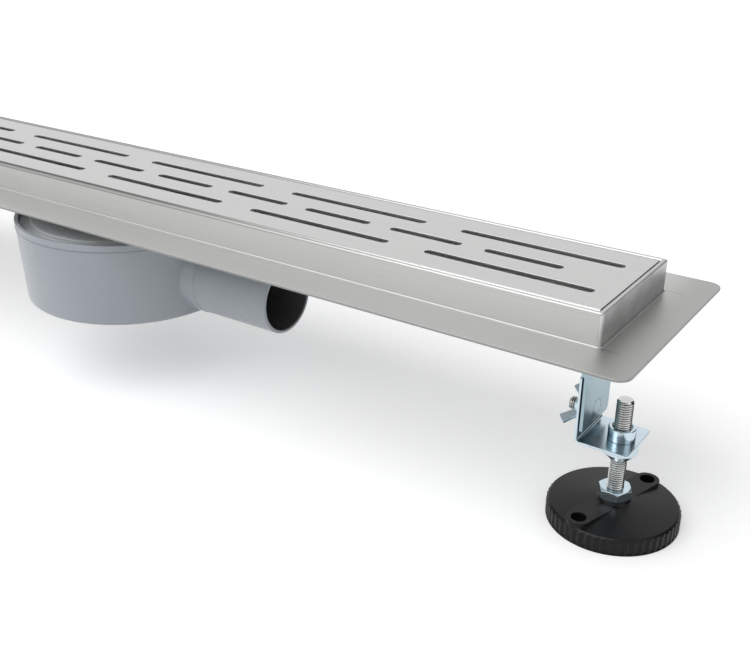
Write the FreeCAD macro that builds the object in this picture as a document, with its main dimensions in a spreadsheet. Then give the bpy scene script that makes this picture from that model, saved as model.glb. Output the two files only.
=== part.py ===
import FreeCAD, Part
import Sketcher
import math
import os
import re

Vector = FreeCAD.Vector

# Linear shower drain: a folded stainless channel with a slotted cover, a low water trap under
# its middle and one adjustable leg under each end. Frame: X along the drain, Y across it, Z up,
# origin on the floor under the middle. Millimetres.

document = FreeCAD.newDocument("LinearDrain")
sheet = document.addObject("Spreadsheet::Sheet", "Dimensions")

DIMENSIONS = [
    # The channel, folded from one stainless sheet
    ("rim_height", 150.0, "floor to the rim of the channel"),
    ("trough_length", 798.0, "channel between its end walls, outside"),
    ("trough_width", 95.0, "channel between its long walls, outside"),
    ("trough_depth", 32.0, "rim to the underside of the floor"),
    ("channel_sheet", 1.5, "sheet of the channel"),
    ("hem_gap", 0.2, "air between the two layers of the wall"),
    ("flange_drop", 19.5, "rim to the top of the flange"),
    ("flange_end_width", 26.0, "flange beyond each end wall"),
    ("flange_side_width", 28.5, "flange beyond each long wall"),
    ("flange_corner_radius", 8.0, "rounded corner of the flange"),
    ("wall_corner_radius", 2.2, "upright corner of the outer wall"),
    ("rim_radius", 1.2, "rounding of the folded rim"),
    ("fold_radius", 1.2, "bend between wall and flange"),
    ("basin_radius", 2.0, "outer bend between wall and floor"),
    ("notch_width", 0.8, "relief notch where a ground weld seam meets the end's edge"),
    ("notch_depth", 0.7, "the same"),
    ("outlet_hole_radius", 37.5, "hole in the floor over the trap"),
    ("trap_offset", 5.0, "trap from the middle, towards the outlet"),
    # The slotted cover
    ("cover_sheet", 2.0, "sheet of the cover"),
    ("cover_side_gap", 0.5, "air along each long side"),
    ("cover_end_gap", 0.5, "air at each end"),
    ("cover_recess", 0.2, "cover below the rim"),
    ("cover_bend_radius", 2.4, "outer bend of the cover's long edges"),
    ("cover_bend_ease", 0.4, "inner bend beyond the outer bend less the sheet"),
    ("slot_width", 6.0, "width of every slot"),
    ("slot_length", 106.0, "outer rows"),
    ("short_slot_length", 50.0, "middle row"),
    ("slot_count", 6.0, "long slots in a row"),
    ("slot_end_margin", 16.0, "end wall to the first long slot"),
    ("slot_row_pitch", 21.7, "row to row"),
    ("weep_count", 7.0, "notches along each standing edge of the cover"),
    ("weep_pitch", 110.0, "notch to notch"),
    ("weep_length", 24.0, "one notch"),
    ("weep_height", 7.0, "one notch"),
    # The trap
    ("trap_lip_radius", 81.0, "pot at its top"),
    ("trap_base_radius", 78.0, "pot at its bottom"),
    ("trap_wall", 2.8, "wall of the pot"),
    ("trap_bottom_drop", 93.2, "rim to the underside of the pot"),
    ("trap_base_edge", 3.0, "rounded bottom edge of the pot"),
    ("lip_gap", 0.4, "channel underside to the top of the pot's lip"),
    ("lip_band", 4.8, "height of the band round the lip"),
    ("lip_step", 0.3, "band beyond the wall below it"),
    ("spigot_radius", 25.0, "outlet spigot outside"),
    ("spigot_wall", 2.6, "wall of the spigot"),
    ("spigot_reach", 150.5, "trap axis to the end of the spigot"),
    ("spigot_drop", 68.2, "rim to the axis of the spigot"),
    ("spigot_root_swell", 2.8, "tapered root of the spigot, beyond it"),
    ("spigot_root_inset", 12.0, "that root, inwards from the pot's base radius"),
    ("spigot_root_reach", 8.0, "that root, outwards from the pot's base radius"),
    ("spigot_root_step", 0.15, "that root, beyond the spigot at its end"),
    ("spigot_end_chamfer", 0.8, "both edges of the spigot's end"),
    ("lid_sheet", 2.6, "thickness of the lid"),
    ("lid_seat_width", 2.0, "ledge in the pot that carries the lid"),
    ("lid_seat_height", 2.5, "that ledge, and the slope below it"),
    ("platform_edge_radius", 1.2, "rounded edge of the lid's raised middle"),
    ("lid_gap", 0.2, "air between lid and pot"),
    ("platform_radius", 70.4, "raised middle of the lid"),
    ("platform_gap", 1.0, "channel underside to the raised middle"),
    ("platform_step", 3.2, "raised middle above the edge of the lid"),
    ("gasket_radius", 45.0, "flat seal outside"),
    ("gasket_width", 4.5, "flat seal, radially"),
    ("gasket_thickness", 2.0, "flat seal"),
    ("gasket_play", 0.1, "air round the flat seal"),
    ("neck_wall", 2.8, "threaded neck of the lid"),
    ("neck_length", 16.0, "threaded neck of the lid"),
    ("collar_gap", 0.6, "collar barrel inside the hole"),
    ("collar_wall", 2.5, "wall of the collar barrel"),
    ("collar_length", 16.5, "floor top to the collar's lower edge"),
    ("collar_flange", 3.5, "collar flange beyond the hole"),
    ("collar_flange_sheet", 1.8, "thickness of the collar flange"),
    ("collar_chamfer", 0.8, "upper edge of the collar flange"),
    ("collar_ledge", 2.0, "ledge that carries the insert"),
    ("collar_ledge_height", 3.0, "height of that ledge"),
    ("insert_gap", 0.3, "insert inside the collar"),
    ("insert_ring_height", 4.0, "top ring of the insert"),
    ("insert_wall", 1.8, "wall of the insert"),
    ("insert_lead", 1.5, "sloping mouth of the insert's ring"),
    ("insert_skirt", 2.0, "plain skirt below the insert's ring"),
    ("tube_radius", 20.0, "dip tube outside"),
    ("funnel_height", 12.0, "funnel above the dip tube"),
    ("tube_bottom_drop", 84.0, "rim to the lower end of the dip tube"),
    ("oring_thickness", 1.6, "cord of the insert's ring seal"),
    ("oring_play", 0.05, "air round that cord"),
    ("cup_radius", 30.0, "water cup outside"),
    ("cup_wall", 1.6, "wall of the water cup"),
    ("cup_rim_drop", 60.0, "rim to the brim of the cup"),
    ("cup_edge", 2.0, "chamfered lower edge of the cup"),
    ("cup_foot_gap", 1.4, "cup above the floor of the pot"),
    ("cup_fin_count", 3.0, "fins that hold the cup to the tube"),
    ("cup_fin_drop", 6.0, "fins below the brim"),
    ("cup_fin_gap", 0.2, "fins off the dip tube"),
    ("strainer_gap", 1.0, "air round the hair strainer"),
    ("strainer_sheet", 1.6, "thickness of the hair strainer"),
    ("strainer_hole_radius", 2.6, "holes of the hair strainer"),
    ("strainer_inner_ring", 12.7, "axis to the holes of the inner ring"),
    ("strainer_outer_ring", 22.7, "axis to the holes of the outer ring"),
    ("strainer_ring_count", 8.0, "holes in the inner ring"),
    ("strainer_knob_radius", 4.0, "grip of the hair strainer"),
    ("strainer_knob_waist", 2.8, "waist of that grip"),
    ("strainer_knob_height", 7.0, "grip of the hair strainer"),
    # The legs
    ("stud_overhang", 1.0, "stud axis beyond the end wall"),
    ("hanger_sheet", 2.0, "tongue of the hanger"),
    ("hanger_width", 38.0, "hanger across the drain"),
    ("hanger_face", 16.8, "stud axis back to the face of the tongue"),
    ("head_width", 6.4, "head bar of the hanger, along the drain"),
    ("head_proud", 2.6, "head bar beyond the face of the tongue"),
    ("head_height", 22.0, "channel underside to the head bar's underside"),
    ("tongue_margin", 8.0, "tongue below the clamp stud's axis"),
    ("tongue_corner", 3.0, "rounded lower corners of the tongue"),
    ("bracket_sheet", 1.5, "sheet of the bracket"),
    ("bracket_gap", 1.2, "air between tongue and bracket"),
    ("bracket_width", 37.0, "bracket across the drain"),
    ("bracket_toe", 11.0, "stud axis out to the edge of the bracket's foot"),
    ("bracket_bend", 3.0, "outer bend of the bracket"),
    ("bracket_corner", 2.0, "rounded corners of the bracket"),
    ("bracket_stop_gap", 0.4, "top of the bracket below the head bar"),
    ("bracket_travel", 16.0, "height that the bracket's slot gives"),
    ("plate_drop", 95.5, "rim to the top of the bracket's foot"),
    ("clamp_drop", 82.0, "rim to the clamp stud's axis"),
    ("clamp_radius", 4.0, "clamp stud"),
    ("clamp_reach", 15.9, "length of the clamp stud"),
    ("clamp_head_radius", 6.3, "flush head of the clamp stud"),
    ("clamp_head_height", 1.2, "flush head of the clamp stud"),
    ("clamp_chamfer", 0.8, "end of the clamp stud"),
    ("clamp_head_play", 0.05, "air round the clamp stud in the tongue"),
    ("clamp_play", 0.2, "clamp stud in the slot, each side"),
    ("washer_radius", 8.0, "washer outside"),
    ("washer_thickness", 1.6, "washer"),
    ("washer_chamfer", 0.3, "edges of the washer"),
    ("washer_gap", 0.1, "washer off the bracket"),
    ("wing_hub_radius", 6.4, "hub of the wing nut at its base"),
    ("wing_hub_top_radius", 4.9, "hub of the wing nut at its end"),
    ("wing_hub_height", 5.4, "hub of the wing nut"),
    ("wing_hub_band", 1.0, "plain band at the base of the hub"),
    ("wing_root", 4.5, "axis to the inner end of a wing, inside the hub"),
    ("wing_foot", 0.6, "base to the lower edge of a wing"),
    ("wing_reach", 15.1, "axis to the outer corner of a wing"),
    ("wing_height", 12.2, "base to the far corner of a wing"),
    ("wing_width", 5.9, "one wing, across its length"),
    ("wing_lean", 42.5, "wings turned outwards from the axis"),
    ("wing_thickness", 2.4, "one wing"),
    ("wing_tip_radius", 0.8, "rounded corners of a wing"),
    ("wing_angle", 30.0, "wings turned from the horizontal"),
    ("bush_radius", 8.1, "threaded bush above the plate"),
    ("bush_height", 7.8, "threaded bush above the plate"),
    ("bush_edge", 0.5, "chamfered upper edge of the bush"),
    ("bush_mouth", 1.1, "countersunk mouth of the thread at its top"),
    ("bush_neck_radius", 6.5, "threaded bush through the plate"),
    ("bush_skirt_radius", 10.6, "skirt of the bush under the plate"),
    ("bush_skirt_height", 6.4, "that skirt, above its cone"),
    ("bush_cone_tip_radius", 5.5, "lower end of the cone"),
    ("bush_cone_height", 11.8, "plate's underside to the lower end of the cone"),
    ("stud_radius", 5.0, "height stud"),
    ("stud_play", 0.05, "stud in its bush, each side"),
    ("stud_rise", 25.4, "plate top to the top of the stud"),
    ("stud_chamfer", 0.9, "both ends of the stud"),
    ("stud_socket_floor", 5.0, "floor to the lower end of the stud"),
    ("nut_flats", 18.0, "hexagon nut across its flats"),
    ("nut_height", 6.5, "hexagon nut"),
    ("nut_face", 0.96, "flat round face of the nut, as a part of its flats"),
    ("nut_bevel", 0.12, "fall of its bevel, as a part of its corner radius"),
    ("foot_radius", 39.5, "foot"),
    ("foot_rim_height", 10.9, "outer edge of the foot"),
    ("foot_shoulder", 1.6, "chamfer above that edge"),
    ("foot_crown", 13.9, "floor to the crown of the foot's top"),
    ("foot_bow", 1.6, "crown above the top at the bow's radius"),
    ("foot_bow_radius", 23.7, "axis to where that is measured"),
    ("foot_boss_height", 15.3, "floor to the top of the boss"),
    ("foot_boss_radius", 8.6, "boss under the nut"),
    ("foot_boss_flare", 1.5, "foot of the boss beyond it"),
    ("foot_wall", 2.8, "wall of the foot"),
    ("foot_roof", 3.2, "outer edge of the foot's top, downwards"),
    ("foot_roof_rise", 2.0, "hollow under the top, from its edge to the boss"),
    ("foot_bar_width", 15.0, "raised bar across the foot"),
    ("foot_bar_height", 13.6, "floor to the top of the bar"),
    ("foot_bar_margin", 2.8, "bar beyond each screw hole"),
    ("foot_eye_drop", 1.0, "walls round the screw holes, below the bar's top"),
    ("foot_hole_pitch", 63.8, "screw hole to screw hole"),
    ("foot_hole_radius", 4.5, "screw holes"),
    ("foot_turn", 73.5, "bar turned from the drain's length"),
    ("flute_count", 54.0, "flutes round the foot"),
    ("flute_radius", 2.6, "one flute"),
    ("flute_depth", 0.7, "one flute"),
    ("flute_foot", 1.0, "plain ring below the flutes"),
    ("foot_rib_count", 6.0, "ribs under the foot"),
    ("foot_rib_gap", 1.0, "ribs above the floor"),
    ("foot_rib_bite", 0.5, "ribs into the wall and the top"),
    ("overlap", 1.0, "cutting shapes beyond the surfaces they cut"),
]
ALIASES = [alias for alias, number, note in DIMENSIONS]
for row, (alias, number, note) in enumerate(DIMENSIONS, start=1):
    sheet.set(f"A{row}", note)
    sheet.set(f"B{row}", str(number))
    sheet.setAlias(f"B{row}", alias)
document.recompute()


def in_sheet(formula):
    """Writes every dimension that a formula names as its cell of the sheet."""
    return re.sub(r"[a-z][a-z_]+", lambda m: "Dimensions." + m[0] if m[0] in ALIASES else m[0], formula)


def size(formula):
    """The present value of a formula."""
    return float(sheet.evalExpression(in_sheet(formula)))


def bind(thing, path, formula):
    thing.setExpression(path, in_sheet(formula))


def new_body(label):
    body = document.addObject("PartDesign::Body", "Body_" + label)
    body.Label = label
    return body


def new_sketch(body, name, plane, offset="0"):
    """An empty sketch on one of the body's own origin planes, moved along that plane's normal."""
    sketch = body.newObject("Sketcher::SketchObject", name)
    origin_plane = [f for f in body.Origin.OriginFeatures if f.Role == plane][0]
    sketch.AttachmentSupport = [(origin_plane, "")]
    sketch.MapMode = "FlatFace"
    bind(sketch, "AttachmentOffset.Base.z", offset)
    return sketch


def tie(sketch, kind, places, formula):
    """A dimension of a sketch, bound to the sheet."""
    number = sketch.addConstraint(Sketcher.Constraint(kind, *places, size(formula)))
    bind(sketch, f"Constraints[{number}]", formula)


def outline(sketch, corners):
    """A closed outline of straight lines through corners given as pairs of formulas."""
    points = [Vector(size(across), size(along), 0) for across, along in corners]
    first = sketch.GeometryCount
    count = len(points)
    for k in range(count):
        sketch.addGeometry(Part.LineSegment(points[k], points[(k + 1) % count]), False)
    for k in range(count):
        sketch.addConstraint(Sketcher.Constraint("Coincident", first + k, 2, first + (k + 1) % count, 1))
    for k, (across, along) in enumerate(corners):
        tie(sketch, "DistanceX", (-1, 1, first + k, 1), across)
        tie(sketch, "DistanceY", (-1, 1, first + k, 1), along)


def rectangle(sketch, low_x, low_y, high_x, high_y):
    outline(sketch, [(low_x, low_y), (high_x, low_y), (high_x, high_y), (low_x, high_y)])


def circle(sketch, across, along, radius):
    centre = Vector(size(across), size(along), 0)
    number = sketch.addGeometry(Part.Circle(centre, Vector(0, 0, 1), size(radius)), False)
    tie(sketch, "Radius", (number,), radius)
    tie(sketch, "DistanceX", (-1, 1, number, 3), across)
    tie(sketch, "DistanceY", (-1, 1, number, 3), along)


def obround(sketch, centre_x, centre_y, length, width):
    """A slot with round ends, along the sketch's X."""
    x, y = size(centre_x), size(centre_y)
    radius = size(width) / 2
    half = size(length) / 2 - radius
    up, out = Vector(0, 0, 1), math.pi / 2
    first = sketch.GeometryCount
    low, high = y - radius, y + radius
    sketch.addGeometry(Part.LineSegment(Vector(x - half, low, 0), Vector(x + half, low, 0)), False)
    sketch.addGeometry(Part.ArcOfCircle(Part.Circle(Vector(x + half, y, 0), up, radius), -out, out), False)
    sketch.addGeometry(Part.LineSegment(Vector(x + half, high, 0), Vector(x - half, high, 0)), False)
    sketch.addGeometry(Part.ArcOfCircle(Part.Circle(Vector(x - half, y, 0), up, radius), out, 3 * out), False)
    for k in range(4):
        following = first + (k + 1) % 4
        sketch.addConstraint(Sketcher.Constraint("Tangent", first + k, 2, following, 1))
    sketch.addConstraint(Sketcher.Constraint("Horizontal", first))
    sketch.addConstraint(Sketcher.Constraint("Horizontal", first + 2))
    tie(sketch, "Radius", (first + 1,), f"({width}) / 2")
    tie(sketch, "DistanceX", (-1, 1, first + 1, 3), f"({centre_x}) + (({length}) - ({width})) / 2")
    tie(sketch, "DistanceX", (-1, 1, first + 3, 3), f"({centre_x}) - (({length}) - ({width})) / 2")
    tie(sketch, "DistanceY", (-1, 1, first + 1, 3), centre_y)


def pad(body, sketch, length, name):
    feature = body.newObject("PartDesign::Pad", name)
    feature.Profile = sketch
    bind(feature, "Length", length)
    document.recompute()
    return feature


def pocket(body, sketch, length, name, upwards=False):
    """Cuts against the sketch's normal, or along it when upwards is set, and checks that it cuts."""
    before = body.Shape.Volume
    feature = body.newObject("PartDesign::Pocket", name)
    feature.Profile = sketch
    bind(feature, "Length", length)
    feature.Reversed = upwards
    document.recompute()
    if not body.Shape.Volume < before:
        raise ValueError(f"{name} of {body.Label} cuts nothing")
    return feature


def turned(body, sketch, name, kind="Revolution"):
    """Turns a sketch of the XZ plane about the body's Z."""
    feature = body.newObject("PartDesign::" + kind, name)
    feature.Profile = sketch
    feature.ReferenceAxis = (sketch, ["V_Axis"])
    feature.Angle = 360
    document.recompute()
    return feature


def edges(shape, test):
    return [f"Edge{k}" for k, edge in enumerate(shape.Edges, start=1) if test(edge)]


def dress(body, kind, base, test, amount, name):
    """A fillet or chamfer on the edges of the base feature that pass a test."""
    feature = body.newObject("PartDesign::" + kind, name)
    feature.Base = (base, edges(base.Shape, test))
    bind(feature, "Radius" if kind == "Fillet" else "Size", amount)
    document.recompute()
    return feature


def in_line(body, originals, sketch, axis, spread, count, name):
    feature = body.newObject("PartDesign::LinearPattern", name)
    feature.Originals = originals
    feature.Direction = (sketch, [axis])
    bind(feature, "Length", spread)
    bind(feature, "Occurrences", count)
    body.Tip = feature
    document.recompute()
    return feature


def in_ring(body, originals, sketch, count, name, axis="N_Axis"):
    feature = body.newObject("PartDesign::PolarPattern", name)
    feature.Originals = originals
    feature.Axis = (sketch, [axis])
    feature.Angle = 360
    bind(feature, "Occurrences", count)
    body.Tip = feature
    document.recompute()
    return feature


def is_upright(edge):
    low, high = edge.BoundBox.ZMin, edge.BoundBox.ZMax
    flat = edge.BoundBox.XLength < 0.01 and edge.BoundBox.YLength < 0.01
    return flat and high - low > 0.01


def is_level(edge, height):
    return abs(edge.BoundBox.ZMin - height) < 0.01 and abs(edge.BoundBox.ZMax - height) < 0.01


def centre_box(sketch, length, width):
    rectangle(sketch, f"-({length}) / 2", f"-({width}) / 2", f"({length}) / 2", f"({width}) / 2")


# Channel: flange, upright outer wall, folded rim and inner basin, all of one sheet.
# Its own zero height is the rim.
INNER_LENGTH = "(trough_length - 2 * (2 * channel_sheet + hem_gap))"
INNER_WIDTH = "(trough_width - 2 * (2 * channel_sheet + hem_gap))"


def make_channel():
    body = new_body("channel_body")
    flange = new_sketch(body, "FlangeOutline", "XY_Plane", "-flange_drop - channel_sheet")
    centre_box(flange, "trough_length + 2 * flange_end_width", "trough_width + 2 * flange_side_width")
    plate = pad(body, flange, "channel_sheet", "Flange")
    plate = dress(body, "Fillet", plate, is_upright, "flange_corner_radius", "FlangeCorners")

    wall = new_sketch(body, "WallOutline", "XY_Plane", "-flange_drop")
    centre_box(wall, "trough_length", "trough_width")
    block = pad(body, wall, "flange_drop", "OuterWall")
    half_length, half_width = size("trough_length") / 2, size("trough_width") / 2

    def wall_corner(edge):
        box = edge.BoundBox
        at_corner = abs(abs(box.Center.x) - half_length) < 0.01 and abs(abs(box.Center.y) - half_width) < 0.01
        return is_upright(edge) and at_corner
    block = dress(body, "Fillet", block, wall_corner, "wall_corner_radius", "WallCorners")

    def wall_loop(edge, height):
        box = edge.BoundBox
        inside = abs(box.Center.x) < half_length + 0.01 and abs(box.Center.y) < half_width + 0.01
        return is_level(edge, height) and inside
    block = dress(body, "Fillet", block, lambda e: wall_loop(e, 0), "rim_radius", "RoundedRim")
    fold = -size("flange_drop")
    block = dress(body, "Fillet", block, lambda e: wall_loop(e, fold), "fold_radius", "FlangeFold")

    basin = new_sketch(body, "BasinOutline", "XY_Plane", "-trough_depth")
    centre_box(basin, INNER_LENGTH + " + 2 * channel_sheet", INNER_WIDTH + " + 2 * channel_sheet")
    under = pad(body, basin, "trough_depth - flange_drop - channel_sheet", "Basin")
    floor = -size("trough_depth")
    under = dress(body, "Fillet", under, lambda e: is_level(e, floor), "basin_radius", "BasinBends")

    hollow = new_sketch(body, "HollowOutline", "XY_Plane")
    centre_box(hollow, INNER_LENGTH, INNER_WIDTH)
    cut = pocket(body, hollow, "trough_depth - channel_sheet", "Hollow")
    inner = -size("trough_depth - channel_sheet")
    cut = dress(body, "Fillet", cut, lambda e: is_level(e, inner),
                "basin_radius - channel_sheet", "FloorBends")
    half_inner = size(INNER_LENGTH) / 2

    def inner_rim(edge):
        box = edge.BoundBox
        return is_level(edge, 0) and abs(box.Center.x) < half_inner + 0.01
    dress(body, "Fillet", cut, inner_rim, "rim_radius", "InnerRim")

    edge_x = "(trough_length / 2 + flange_end_width)"
    notches = new_sketch(body, "NotchOutlines", "XY_Plane")
    for end in ("", "-"):
        for long_side in ("", "-"):
            y = f"{long_side}trough_width / 2"
            rectangle(notches, f"{end}({edge_x} - notch_depth)", f"{y} - notch_width / 2",
                      f"{end}({edge_x} + overlap)", f"{y} + notch_width / 2")
    pocket(body, notches, "flange_drop + channel_sheet + overlap", "CornerNotches")

    outlet = new_sketch(body, "OutletOutline", "XY_Plane")
    circle(outlet, "trap_offset", "0", "outlet_hole_radius")
    pocket(body, outlet, "trough_depth + overlap", "OutletHole")
    return body


def make_cover():
    """Slotted cover: a long sheet with both edges folded down, standing on the channel's floor."""
    body = new_body("grate")
    half = f"({INNER_WIDTH} / 2 - cover_side_gap)"
    base = "(-trough_depth + channel_sheet)"
    length = f"({INNER_LENGTH} - 2 * cover_end_gap)"
    section = new_sketch(body, "CoverSection", "YZ_Plane", f"-{length} / 2")
    outline(section, [
        (f"-{half}", base), (f"-{half} + cover_sheet", base),
        (f"-{half} + cover_sheet", "-cover_recess - cover_sheet"),
        (f"{half} - cover_sheet", "-cover_recess - cover_sheet"),
        (f"{half} - cover_sheet", base), (half, base), (half, "-cover_recess"), (f"-{half}", "-cover_recess"),
    ])
    folded = pad(body, section, length, "FoldedSheet")
    top, under = -size("cover_recess"), -size("cover_recess + cover_sheet")
    long_enough = size("trough_length") / 2

    def along(edge, height):
        return is_level(edge, height) and edge.BoundBox.XLength > long_enough
    folded = dress(body, "Fillet", folded, lambda e: along(e, top), "cover_bend_radius", "OuterBends")
    folded = dress(body, "Fillet", folded, lambda e: along(e, under),
                   "cover_bend_radius - cover_sheet + cover_bend_ease",
                   "InnerBends")

    pitch = "((trough_length - 2 * slot_end_margin - slot_length) / (slot_count - 1))"
    spread = f"({pitch} * (slot_count - 1))"
    long_slots = new_sketch(body, "LongSlots", "XY_Plane")
    for side in ("-", ""):
        obround(long_slots, f"-{spread} / 2", f"{side}slot_row_pitch", "slot_length", "slot_width")
    cut = pocket(body, long_slots, "cover_recess + cover_sheet + overlap", "LongSlotPair")
    in_line(body, [cut], long_slots, "H_Axis", spread, "slot_count", "LongSlotRow")
    short_slots = new_sketch(body, "ShortSlot", "XY_Plane")
    obround(short_slots, f"-{spread} / 2", "0", "short_slot_length", "slot_width")
    cut = pocket(body, short_slots, "cover_recess + cover_sheet + overlap", "MiddleSlot")
    in_line(body, [cut], short_slots, "H_Axis", spread, "2 * slot_count - 1", "MiddleSlotRow")

    weep = new_sketch(body, "WeepNotch", "XZ_Plane", "-trough_width")
    weep_spread = "(weep_pitch * (weep_count - 1))"
    rectangle(weep, f"-{weep_spread} / 2 - weep_length / 2", base + " - overlap",
              f"-{weep_spread} / 2 + weep_length / 2", base + " + weep_height")
    cut = pocket(body, weep, "2 * trough_width", "WeepNotches", upwards=True)
    in_line(body, [cut], weep, "H_Axis", weep_spread, "weep_count", "WeepRow")
    return body


LIP_TOP = "(-trough_depth - lip_gap)"
PLATFORM_TOP = "(-trough_depth - platform_gap)"
LID_TOP = f"({PLATFORM_TOP} - platform_step)"
LID_UNDER = f"({LID_TOP} - lid_sheet)"
POT_FLOOR = "(-trap_bottom_drop + trap_wall)"
FLOOR_TOP = "(-trough_depth + channel_sheet)"
BARREL = "(outlet_hole_radius - collar_gap)"
BARREL_INNER = f"({BARREL} - collar_wall)"
COLLAR_FOOT = f"({FLOOR_TOP} - collar_length)"
LEDGE_TOP = f"({COLLAR_FOOT} + collar_ledge_height)"
INSERT_RADIUS = f"({BARREL_INNER} - insert_gap)"
INSERT_TOP = f"({LEDGE_TOP} + insert_ring_height)"


def make_pot():
    """Grey trap pot: tapered wall with a band round its lip, and the outlet spigot to one side."""
    body = new_body("trap_pot")
    outside = new_sketch(body, "PotOutside", "XZ_Plane")
    band_foot = f"({LIP_TOP} - lip_band)"
    outline(outside, [
        ("0", "-trap_bottom_drop"), ("trap_base_radius", "-trap_bottom_drop"),
        ("trap_lip_radius - lip_step", band_foot), ("trap_lip_radius", band_foot),
        ("trap_lip_radius", LIP_TOP), ("0", LIP_TOP),
    ])
    solid = turned(body, outside, "PotBlank")
    bottom = -size("trap_bottom_drop")
    solid = dress(body, "Fillet", solid, lambda e: is_level(e, bottom), "trap_base_edge", "BottomEdge")

    root = new_sketch(body, "SpigotRoot", "YZ_Plane", "trap_base_radius - spigot_root_inset")
    circle(root, "0", "-spigot_drop + spigot_root_swell",
           "spigot_radius + spigot_root_swell + spigot_root_step")
    root_end = new_sketch(body, "SpigotRootEnd", "YZ_Plane", "trap_base_radius + spigot_root_reach")
    circle(root_end, "0", "-spigot_drop", "spigot_radius + spigot_root_step")
    taper = body.newObject("PartDesign::AdditiveLoft", "SpigotTaper")
    taper.Profile = root
    taper.Sections = [root_end]
    taper.Ruled = True
    document.recompute()
    tube = new_sketch(body, "SpigotOutside", "YZ_Plane", "trap_base_radius / 2")
    circle(tube, "0", "-spigot_drop", "spigot_radius")
    pad(body, tube, "spigot_reach - trap_base_radius / 2", "Spigot")

    inside = new_sketch(body, "PotInside", "XZ_Plane")
    ledge = "(trap_lip_radius - trap_wall - lid_gap - lid_seat_width)"
    outline(inside, [
        ("0", POT_FLOOR), ("trap_base_radius - trap_wall", POT_FLOOR),
        ("trap_lip_radius - lip_step - trap_wall", f"{LID_UNDER} - 2 * lid_seat_height"),
        (ledge, f"{LID_UNDER} - lid_seat_height"), (ledge, LID_UNDER),
        ("trap_lip_radius - trap_wall", LID_UNDER), ("trap_lip_radius - trap_wall", f"{LIP_TOP} + overlap"),
        ("0", f"{LIP_TOP} + overlap"),
    ])
    turned(body, inside, "PotHollow", "Groove")
    bore = new_sketch(body, "SpigotBore", "YZ_Plane", "spigot_reach + overlap")
    circle(bore, "0", "-spigot_drop", "spigot_radius - spigot_wall")
    cut = pocket(body, bore, "spigot_reach - trap_base_radius / 2", "SpigotHollow")
    reach = size("spigot_reach")

    def end_rim(edge):
        box = edge.BoundBox
        return abs(box.XMin - reach) < 0.01 and abs(box.XMax - reach) < 0.01
    dress(body, "Chamfer", cut, end_rim, "spigot_end_chamfer", "SpigotEnd")
    return body


def make_lid():
    """Lid of the pot: raised middle with a groove for the flat seal, and a threaded neck."""
    body = new_body("trap_lid")
    neck = f"({BARREL} + insert_gap)"
    neck_out = f"({neck} + neck_wall)"
    under = f"({PLATFORM_TOP} - lid_sheet)"
    groove = "(-trough_depth - gasket_thickness)"
    section = new_sketch(body, "LidSection", "XZ_Plane")
    outline(section, [
        (neck, PLATFORM_TOP), ("gasket_radius - gasket_width - gasket_play", PLATFORM_TOP),
        ("gasket_radius - gasket_width - gasket_play", groove), ("gasket_radius + gasket_play", groove),
        ("gasket_radius + gasket_play", PLATFORM_TOP), ("platform_radius", PLATFORM_TOP),
        ("platform_radius", LID_TOP), ("trap_lip_radius - trap_wall - lid_gap", LID_TOP),
        ("trap_lip_radius - trap_wall - lid_gap", LID_UNDER), ("platform_radius - lid_sheet", LID_UNDER),
        ("platform_radius - lid_sheet", under), (neck_out, under),
        (neck_out, f"{PLATFORM_TOP} - neck_length"), (neck, f"{PLATFORM_TOP} - neck_length"),
    ])
    lid = turned(body, section, "Lid")
    top = size(PLATFORM_TOP)
    rim = size("platform_radius")
    dress(body, "Fillet", lid, lambda e: is_level(e, top) and e.BoundBox.XMax > rim - 0.01,
          "platform_edge_radius",
          "PlatformEdge")
    return body


def make_ring(label, inner, outer, low, high):
    """A plain flat ring about the trap's axis."""
    body = new_body(label)
    section = new_sketch(body, "RingSection", "XZ_Plane")
    rectangle(section, inner, low, outer, high)
    turned(body, section, "Ring")
    return body


def make_collar():
    """Flanged collar, screwed down through the channel's hole into the neck of the lid."""
    body = new_body("inlet_collar")
    flange = "(outlet_hole_radius + collar_flange)"
    top = f"({FLOOR_TOP} + collar_flange_sheet)"
    section = new_sketch(body, "CollarSection", "XZ_Plane")
    outline(section, [
        (BARREL_INNER, top), (f"{flange} - collar_chamfer", top), (flange, f"{top} - collar_chamfer"),
        (flange, FLOOR_TOP),
        (BARREL, FLOOR_TOP), (BARREL, COLLAR_FOOT), (f"{BARREL_INNER} - collar_ledge", COLLAR_FOOT),
        (f"{BARREL_INNER} - collar_ledge", LEDGE_TOP), (BARREL_INNER, LEDGE_TOP),
    ])
    turned(body, section, "Collar")
    return body


def make_insert():
    """Removable insert: ring with a seal groove, funnel and dip tube in one moulding."""
    body = new_body("dip_tube")
    ledge_hole = f"({BARREL_INNER} - collar_ledge - insert_gap)"
    groove = f"({BARREL_INNER} - oring_thickness - 2 * oring_play)"
    groove_half = "(oring_thickness / 2 + oring_play)"
    middle = f"({LEDGE_TOP} + insert_ring_height / 2)"
    tube_top = f"({LEDGE_TOP} - funnel_height)"
    section = new_sketch(body, "InsertSection", "XZ_Plane")
    outline(section, [
        (f"{INSERT_RADIUS} - insert_wall - insert_lead", INSERT_TOP), (INSERT_RADIUS, INSERT_TOP),
        (INSERT_RADIUS, f"{middle} + {groove_half}"), (groove, f"{middle} + {groove_half}"),
        (groove, f"{middle} - {groove_half}"), (INSERT_RADIUS, f"{middle} - {groove_half}"),
        (INSERT_RADIUS, LEDGE_TOP), (ledge_hole, LEDGE_TOP), (ledge_hole, f"{LEDGE_TOP} - insert_skirt"),
        ("tube_radius", tube_top), ("tube_radius", "-tube_bottom_drop"),
        ("tube_radius - insert_wall", "-tube_bottom_drop"),
        ("tube_radius - insert_wall", f"{tube_top} + insert_wall / 2"),
        (f"{ledge_hole} - insert_wall", LEDGE_TOP),
    ])
    turned(body, section, "Insert")
    return body


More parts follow.
